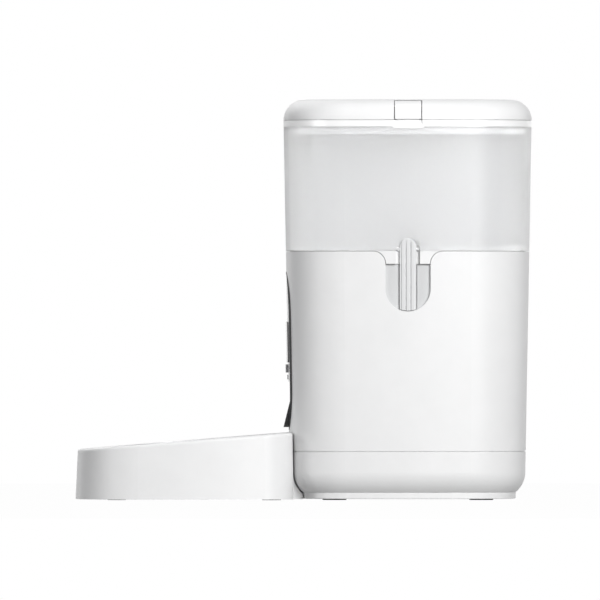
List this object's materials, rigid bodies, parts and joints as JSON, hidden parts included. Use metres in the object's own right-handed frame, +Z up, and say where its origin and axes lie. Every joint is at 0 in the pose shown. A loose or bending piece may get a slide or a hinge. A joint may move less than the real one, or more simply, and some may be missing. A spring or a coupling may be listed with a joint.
{
  "type": "smart pet feeder",
  "caption": "Countertop automatic dry-food pet feeder with a lidded clear hopper, rotor dispenser, chute and a pull-out stand that holds a drop-in bowl.",
  "frame": {"origin": "on the floor under the middle of the whole feeder, tower and bowl stand together", "axes": "+Z up; -Y towards the front, where the bowl is; +Y towards the tower's back; +X to the feeder's right-hand side as the picture shows it"},
  "size_m": [0.172, 0.3426, 0.3],
  "materials": {
    "white_shell": "fine satin moulded white plastic",
    "white_gloss": "smooth semi-gloss white plastic",
    "tank_clear": "translucent, faintly frosted clear plastic",
    "liner_white": "matt white plastic",
    "inner_grey": "matt mid-grey moulded plastic",
    "dark_plastic": "satin near-black plastic",
    "window_grey": "smoked glossy window",
    "light_white": "translucent white lens",
    "foot_rubber": "dark grey rubber",
    "seal_rubber": "translucent white silicone rubber",
    "gear_white": "natural off-white acetal",
    "bearing_brass": "sintered bronze bush",
    "motor_steel": "nickel plated steel",
    "screw_steel": "zinc plated steel",
    "board_green": "green solder mask",
    "module_metal": "tinned shield can",
    "module_black": "black moulded part",
    "bowl_steel": "satin stainless steel"
  },
  "bodies": {
    "tower": {"base_plate": "white_shell", "foot_1": "foot_rubber", "foot_2": "foot_rubber", "foot_3": "foot_rubber", "foot_4": "foot_rubber", "base_screws": "screw_steel", "base_tray": "white_shell", "battery_box": "inner_grey", "battery_contacts": "motor_steel", "battery_cover": "white_shell", "battery_screws": "screw_steel", "power_socket": "dark_plastic", "tower_shell": "white_shell", "main_board": "board_green", "radio_module": "module_metal", "board_screws": "screw_steel", "deck": "inner_grey", "deck_screws": "screw_steel", "drive_bearing": "bearing_brass", "gearbox_cover": "inner_grey", "gearbox_screws": "screw_steel", "gear_motor": "motor_steel", "chute": "dark_plastic", "front_frame": "dark_plastic", "front_cover": "white_gloss", "display_window": "window_grey", "status_light": "light_white", "control_board": "board_green", "display_module": "module_black", "feed_switch": "module_black"},
    "tank": {"tank": "tank_clear", "tank_base": "white_shell", "tank_collar": "white_gloss", "drum_floor": "inner_grey", "flow_guard": "tank_clear"},
    "lid": {"lid": "white_gloss", "lid_liner": "liner_white", "lid_gasket": "seal_rubber", "lid_screws": "screw_steel", "desiccant_box": "liner_white", "latch_pin_left": "motor_steel", "latch_pin_right": "motor_steel"},
    "latch_right": {"latch_right": "white_gloss"},
    "latch_left": {"latch_left": "white_gloss"},
    "tongue_right": {"tongue_right": "tank_clear"},
    "tongue_left": {"tongue_left": "tank_clear"},
    "desiccant_cap": {"desiccant_cap": "liner_white"},
    "rotor": {"rotor": "inner_grey", "stirrer": "seal_rubber"},
    "drive": {"drive_gear": "gear_white", "drive_spigot": "gear_white"},
    "pinion": {"motor_pinion": "gear_white"},
    "feed_button": {"feed_button": "liner_white"},
    "bowl_holder": {"bowl_holder": "white_shell", "holder_pad_1": "foot_rubber", "holder_pad_2": "foot_rubber", "holder_pad_3": "foot_rubber", "holder_pad_4": "foot_rubber"},
    "bowl": {"bowl": "bowl_steel"}
  },
  "joints": [
    {"name": "tank_lift", "type": "slide", "parent": "tower", "child": "tank", "axis": [0, 0, 1], "range_m": [0, 0.12]},
    {"name": "lid_lift", "type": "slide", "parent": "tank", "child": "lid", "axis": [0, 0, 1], "range_m": [0, 0.08]},
    {"name": "latch_right_hinge", "type": "hinge", "parent": "lid", "child": "latch_right", "pos_m": [0.07593, 0.0781, 0.29427], "axis": [0, -1, 0], "range_deg": [0, 55], "stiffness_Nm_per_rad": 0.02, "springref_deg": -5.73},
    {"name": "latch_left_hinge", "type": "hinge", "parent": "lid", "child": "latch_left", "pos_m": [-0.07593, 0.0781, 0.29427], "axis": [0, 1, 0], "range_deg": [0, 55], "stiffness_Nm_per_rad": 0.02, "springref_deg": -5.73},
    {"name": "tongue_right_press", "type": "hinge", "parent": "tank", "child": "tongue_right", "pos_m": [0.08206, 0.0781, 0.1877], "axis": [0, 1, 0], "range_deg": [0, 2.5], "stiffness_Nm_per_rad": 1, "springref_deg": -1.15},
    {"name": "tongue_left_press", "type": "hinge", "parent": "tank", "child": "tongue_left", "pos_m": [-0.08206, 0.0781, 0.1877], "axis": [0, -1, 0], "range_deg": [0, 2.5], "stiffness_Nm_per_rad": 1, "springref_deg": -1.15},
    {"name": "desiccant_cap_twist", "type": "hinge", "parent": "lid", "child": "desiccant_cap", "pos_m": [0, 0.0781, 0.268], "axis": [0, 0, 1], "range_deg": [0, 30]},
    {"name": "rotor_spin", "type": "hinge", "parent": "tank", "child": "rotor", "pos_m": [0, 0.0781, 0.12], "axis": [0, 0, 1], "continuous": true},
    {"name": "drive_spin", "type": "hinge", "parent": "tower", "child": "drive", "pos_m": [0, 0.0781, 0.1], "axis": [0, 0, 1], "continuous": true},
    {"name": "pinion_spin", "type": "hinge", "parent": "tower", "child": "pinion", "pos_m": [0, 0.1101, 0.1], "axis": [0, 0, 1], "continuous": true},
    {"name": "feed_button_press", "type": "slide", "parent": "tower", "child": "feed_button", "axis": [0, 1, 0], "range_m": [0, 0.0008], "stiffness_N_per_m": 600, "springref_m": -0.0005},
    {"name": "bowl_holder_slide", "type": "slide", "parent": "tower", "child": "bowl_holder", "axis": [0, -1, 0], "range_m": [0, 0.06]},
    {"name": "bowl_lift", "type": "slide", "parent": "bowl_holder", "child": "bowl", "axis": [0, -0.079, 0.9969], "range_m": [0, 0.05]}
  ],
  "couplings": [
    {"joint": "drive_spin", "follows": "rotor_spin", "ratio": 1},
    {"joint": "pinion_spin", "follows": "rotor_spin", "ratio": -3}
  ]
}
